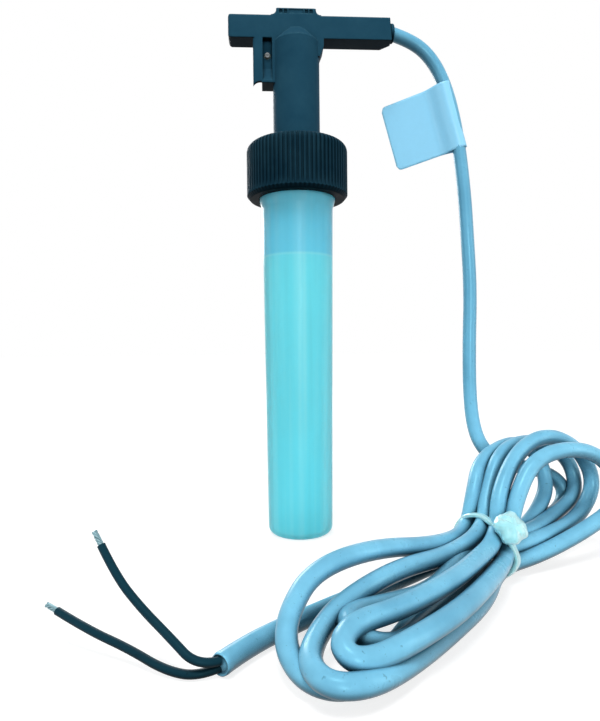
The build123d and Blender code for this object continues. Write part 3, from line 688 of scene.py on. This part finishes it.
class DETECTOR_OT_tie(bpy.types.Operator):
    """Puts the clear tie round the hank's waist and twists its ends into a knot"""

    bl_idname = "detector.tie"
    bl_label = "Tie"

    def execute(self, context):
        sizes, colours = context.scene.detector_sizes, context.scene.detector_colours
        finish = tie_finish("clear_tie", colours.tie)
        band = self.band(sizes, finish)
        knot = self.knot(sizes, finish)
        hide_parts("cable_tie")
        for piece in (band, knot):
            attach(piece, "head")
        return {"FINISHED"}

    def band(self, sizes, finish):
        """A flat strip round an ellipse: c + w a cos t + h b sin t, with a rounded oblong section."""
        turn = np.linspace(0, 2 * np.pi, 120, endpoint=False)
        across = TIE_ACROSS[None] * np.cos(turn)[:, None] * sizes.tie_half_width
        up = TIE_UP[None] * np.sin(turn)[:, None] * sizes.tie_half_height
        middle = TIE_CENTRE + across + up
        middle = middle + TIE_ALONG * (0.0004 * np.sin(3 * turn + 0.6) + 0.0003 * np.sin(7 * turn))[:, None]
        outward = (across / sizes.tie_half_width ** 2 + up / sizes.tie_half_height ** 2)
        outward /= np.linalg.norm(outward, axis=1)[:, None]
        ring = np.linspace(0, 2 * np.pi, 16, endpoint=False)
        flat = np.sign(np.cos(ring)) * np.abs(np.cos(ring)) ** 0.5 * sizes.tie_band_width / 2
        thick = np.sign(np.sin(ring)) * np.abs(np.sin(ring)) ** 0.7 * sizes.tie_band_thickness / 2
        shell = Shell()
        shell.patch(middle[:, None] + flat[None, :, None] * TIE_ALONG
                    + thick[None, :, None] * outward[:, None], close_rows=True, close_columns=True)
        return shell.make("tie_band", finish)

    def knot(self, sizes, finish):
        """A lumpy ball, c + r(1 + folds)(cos b cos a, cos b sin a, sin b), flattened along its axis."""
        axis = unit(KNOT_AXIS)
        side = unit(np.cross(axis, (0, 0, 1)))
        up = np.cross(side, axis)
        a = np.linspace(0, 2 * np.pi, 72, endpoint=False)[None]
        b = np.linspace(-np.pi / 2, np.pi / 2, 36)[:, None]
        folds = 0.07 * np.sin(4 * a + b) + 0.04 * np.sin(7 * a - 2 * b + 1) + 0.015 * np.sin(17 * a + 9 * b)
        r = KNOT_RADIUS * (1 + folds * np.cos(b))
        grid = (r * np.cos(b) * np.cos(a))[..., None] * side + (r * np.cos(b) * np.sin(a))[..., None] * up
        grid = grid + (r * np.sin(b) * KNOT_FLATNESS)[..., None] * axis
        shell = Shell()
        shell.patch(KNOT_CENTRE + grid, close_columns=True)
        return shell.make("tie_knot", finish)


class DETECTOR_OT_label(bpy.types.Operator):
    """Folds the flag label round the cable and sticks its two leaves together beside it"""

    bl_idname = "detector.label"
    bl_label = "Label"

    def execute(self, context):
        sizes, colours = context.scene.detector_sizes, context.scene.detector_colours
        finish = film_finish("label_film", colours.label)
        flag = self.flag(sizes, finish)
        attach(flag, "head")
        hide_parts("cable_label")
        return {"FINISHED"}

    def flag(self, sizes, finish):
        """Seen along the cable the film is a drop: a half circle round the cable, whose two leaves
        come together as offset = r cos^2 and run on side by side to rounded corners."""
        up = unit(LABEL_UP)
        across = unit(LABEL_ACROSS - up * (LABEL_ACROSS @ up))
        front = -np.cross(across, up)
        front = front if front[1] < 0 else -front
        r = sizes.cable_diameter / 2 + 0.00022
        reach = sizes.label_width - r
        film = 0.00011
        bend = np.linspace(0, np.pi / 2, 9)[:-1]
        arc = np.stack([r * np.cos(bend), r * np.sin(bend)], 1)
        run = np.linspace(0, 1, 40) ** 1.15
        meet, curl = 0.0085, 0.0004
        x = -run * reach
        share = np.clip(-x / meet, 0, 1)
        y = film + (r - film) * (0.5 + 0.5 * np.cos(np.pi * share))
        leaf = np.concatenate([arc, np.stack([x, y], 1)])
        section = np.concatenate([leaf[::-1], leaf[1:] * (1, -1)])
        rows = np.linspace(-1, 1, 37)
        half, corner = sizes.label_height / 2, 0.002
        inset = np.maximum(0.0, -section[:, 0] - (reach - corner))
        limit = half - (corner - np.sqrt(np.maximum(corner ** 2 - inset ** 2, 0.0)))
        offset = section[:, 1] + curl * (section[:, 0] / reach) ** 2
        middle = LABEL_CENTRE + section[:, :1] * across + offset[:, None] * front
        shell = Shell()
        shell.patch(middle[:, None] + (limit[:, None] * rows)[..., None] * up)
        thing = shell.make("label_flag", finish, 60)
        thick = thing.modifiers.new("Film", "SOLIDIFY")
        thick.thickness = 0.00015
        thick.offset = 0
        return thing


class DETECTOR_OT_nut(bpy.types.Operator):
    """Turns the union nut with rounded ribs that run out on its shoulder"""

    bl_idname = "detector.nut"
    bl_label = "Union nut"

    def execute(self, context):
        sizes, colours = context.scene.detector_sizes, context.scene.detector_colours
        low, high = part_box("union_nut")
        bottom, top = low.z, high.z
        outer, bore, throat, ledge = sizes.nut_radius, 0.01534, 0.00955, top - 0.0048
        corners = [(bore, bottom), (outer - 0.0013, bottom), (outer, bottom + 0.0015), (outer, top),
                   (throat, top), (throat, ledge), (bore, ledge), (bore, bottom)]
        profile = rounded(corners, [0, 0.0003, 0.0005, 0.003, 0.0003, 0, 0, 0], 9)
        filled = divided(profile, lambda run: 8 if run > 0.004 else 1)
        depth = sizes.rib_depth

        def ribbed(radius, height, angle):
            """The radius less the groove's depth, which swells smoothly from rib to groove."""
            phase = (angle * RIB_COUNT / (2 * np.pi)) % 1.0
            swell = np.clip((np.abs(phase - 0.5) - 0.19) / 0.12, 0, 1)
            groove = 1 - swell * swell * (3 - 2 * swell)
            above = np.clip((height - bottom - 0.0012) / 0.001, 0, 1)
            below = np.clip((top + 0.00002 - height) / 0.0012, 0, 1)
            outside = np.clip((radius - (outer - 0.0028)) / 0.0006, 0, 1)
            return radius - depth * groove * above * below * outside

        shell = Shell()
        shell.patch(turned(filled, RIB_COUNT * 10, ribbed), close_columns=True)
        finish = bpy.data.materials["black_plastic_nut"]
        nut = shell.make("nut_ribbed", finish, 40)
        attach(nut, "nut")
        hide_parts("union_nut")
        return {"FINISHED"}


class DETECTOR_OT_sleeve(bpy.types.Operator):
    """Turns the translucent protective sleeve with smooth walls and its inner step"""

    bl_idname = "detector.sleeve"
    bl_label = "Protective sleeve"

    def execute(self, context):
        colours = context.scene.detector_colours
        foot, neck, neck_z, collar, bore = 0.01282, 0.01408, 0.1294, 0.01504, 0.0126
        wall, floor, step, length = 0.0019, 0.0016, SLEEVE_STEP, 0.142

        def outside(z):
            """The outer radius, which widens evenly from foot to neck."""
            return foot + (neck - foot) * z / neck_z

        corners = [(0.0, 0.0), (foot, 0.0), (neck, neck_z), (collar, 0.1326), (collar, length),
                   (bore, length), (bore, step), (outside(step) - wall, step - 0.0006), (foot - wall, floor), (0.0, floor)]
        profile = rounded(corners, [0, 0.0032, 0.004, 0.001, 0.0004, 0.0003, 0.0003, 0.0003, 0.0016, 0], 9)
        filled = divided(profile, lambda run: max(1, int(run / 0.006)))
        shell = Shell()
        shell.patch(turned(filled, 128), close_columns=True)
        sleeve = shell.make("sleeve_wall", sleeve_finish("clear_sleeve", colours.sleeve), 40)
        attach(sleeve, "sleeve")
        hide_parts("protective_sleeve")
        return {"FINISHED"}


class DETECTOR_OT_finishes(bpy.types.Operator):
    """Gives each CAD solid that stays in view its own finish"""

    bl_idname = "detector.finishes"
    bl_label = "Finishes"

    def execute(self, context):
        colours = context.scene.detector_colours
        black = moulded_finish("black_plastic", colours.moulding, colours.moulding_worn_and_lit, bevel=0.0009)
        moulded_finish("black_plastic_nut", darker(colours.moulding, 0.45), colours.moulding_worn_and_lit,
                       bevel=0.00012)
        steel = metal_finish("steel", colours.steel, 0.28)
        dull = metal_finish("screw_steel", darker(colours.steel, 0.3), 0.5)
        made = {
            "switch_housing": black, "slip_ring": black, "paddle_lever": black, "potting_plug": black,
            "cable_collar": black, "pivot_pin": steel, "lever_magnet": steel, "paddle_blade": steel,
            "blade_rivets": steel, "reed_leads": steel, "adjusting_screw": dull,
            "threaded_insert": metal_finish("brass", colours.brass, 0.3),
            "reed_capsule": glass_finish("reed_glass", colours.glass),
            "flat_gasket": jacket_finish("rubber_seal", colours.seal, colours.seal, False, 0.6),
        }
        for name, finish in made.items():
            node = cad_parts[name]
            node.data.materials.clear()
            node.data.materials.append(finish)
        return {"FINISHED"}


class DETECTOR_OT_stage(bpy.types.Operator):
    """Sets the camera, the pale floor and the soft lights"""

    bl_idname = "detector.stage"
    bl_label = "Stage"

    def execute(self, context):
        scene = context.scene
        scene.view_settings.view_transform = "Standard"
        turn = Matrix((CAMERA_RIGHT, CAMERA_UP, -Vector(CAMERA_AHEAD))).transposed().to_4x4()
        data = bpy.data.cameras.new("camera")
        data.sensor_fit, data.sensor_width, data.lens = "HORIZONTAL", 36.0, CAMERA_LENS
        data.clip_start, data.clip_end = 0.01, 50
        camera = bpy.data.objects.new("camera", data)
        camera.matrix_world = Matrix.Translation(CAMERA_PLACE) @ turn
        scene.collection.objects.link(camera)
        scene.camera = camera
        self.world(scene)
        self.floor(scene)
        for lamp in LAMPS:
            self.lamp(scene, *lamp)
        return {"FINISHED"}

    def lamp(self, scene, name, place, aim, width, height, power):
        data = bpy.data.lights.new(name, "AREA")
        data.shape, data.size, data.size_y, data.energy = "RECTANGLE", width, height, power
        lamp = bpy.data.objects.new(name, data)
        lamp.location = place
        lamp.rotation_euler = (Vector(aim) - Vector(place)).to_track_quat("-Z", "Y").to_euler()
        scene.collection.objects.link(lamp)

    def world(self, scene):
        """White where the camera, a gloss or a clear wall looks at it, and softer as a light."""
        world = bpy.data.worlds.new("studio")
        world.use_nodes = True
        tree = world.node_tree
        tree.nodes.clear()
        seen = seen_share(tree)
        strength = remap(tree, seen, 0.0, 1.0, 0.10, 1.0)
        shade = add(tree, "Background", {"Color": (1, 1, 1, 1), "Strength": strength})
        add(tree, "OutputWorld", {"Surface": shade.outputs[0]})
        scene.world = world

    def floor(self, scene):
        """A wide pale disc: x = r cos a, y = r sin a, whose colour is white and keeps the shadows."""
        a = np.linspace(0, 2 * np.pi, 96, endpoint=False)
        r = np.array((0.0001, 0.1, 0.3, 1.0, 4.0, 12.0))[:, None]
        grid = np.stack([r * np.cos(a), r * np.sin(a), np.full(r.shape, -0.00005) + 0 * a], -1)
        material = new_material("floor")
        tree = material.node_tree
        seen = seen_share(tree)
        fibre = remap(tree, noise(tree, 60, 3), 0.3, 0.7, 0.37, 0.41)
        matt = add(tree, "BsdfDiffuse", {"Color": fibre})
        place = add(tree, "TexCoord").outputs["Object"]
        away = add(tree, "VectorMath", {0: place}, operation="LENGTH").outputs["Value"]
        lift = remap(tree, away, 0.2, 0.7, 0.77, 1.0)
        light = add(tree, "Emission", {"Color": (1, 1, 1, 1),
                                       "Strength": maths(tree, "MULTIPLY", seen, lift)})
        both = add(tree, "AddShader", {0: matt.outputs[0], 1: light.outputs[0]})
        output(tree, both.outputs[0])
        shell = Shell()
        shell.patch(grid, close_columns=True)
        floor = shell.make("floor", material)


class DETECTOR_PT_panel(bpy.types.Panel):
    """Sizes, colours and the steps that build the detector"""

    bl_label = "Detector"
    bl_idname = "DETECTOR_PT_panel"
    bl_space_type = "VIEW_3D"
    bl_region_type = "UI"
    bl_category = "Detector"

    def draw(self, context):
        for group in (context.scene.detector_sizes, context.scene.detector_colours):
            box = self.layout.box()
            for key in group.bl_rna.properties.keys():
                if key not in ("rna_type", "name"):
                    box.prop(group, key)
        for step in STEPS:
            self.layout.operator(step.bl_idname)


STEPS = (DETECTOR_OT_stage, DETECTOR_OT_finishes, DETECTOR_OT_cable, DETECTOR_OT_cores, DETECTOR_OT_tie,
         DETECTOR_OT_label, DETECTOR_OT_nut, DETECTOR_OT_sleeve)
CLASSES = (DetectorColours, DetectorSizes, *STEPS, DETECTOR_PT_panel)


def register():
    for item in CLASSES:
        bpy.utils.register_class(item)
    bpy.types.Scene.detector_colours = bpy.props.PointerProperty(type=DetectorColours)
    bpy.types.Scene.detector_sizes = bpy.props.PointerProperty(type=DetectorSizes)


def unregister():
    del bpy.types.Scene.detector_sizes
    del bpy.types.Scene.detector_colours
    for item in reversed(CLASSES):
        bpy.utils.unregister_class(item)


def main():
    """Builds the whole scene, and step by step."""
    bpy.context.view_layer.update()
    register()
    bpy.ops.detector.stage()
    bpy.ops.detector.finishes()
    bpy.ops.detector.cable()
    bpy.ops.detector.cores()
    bpy.ops.detector.tie()
    bpy.ops.detector.label()
    bpy.ops.detector.nut()
    bpy.ops.detector.sleeve()
    bpy.context.view_layer.update()


if __name__ == "__main__":
    main()
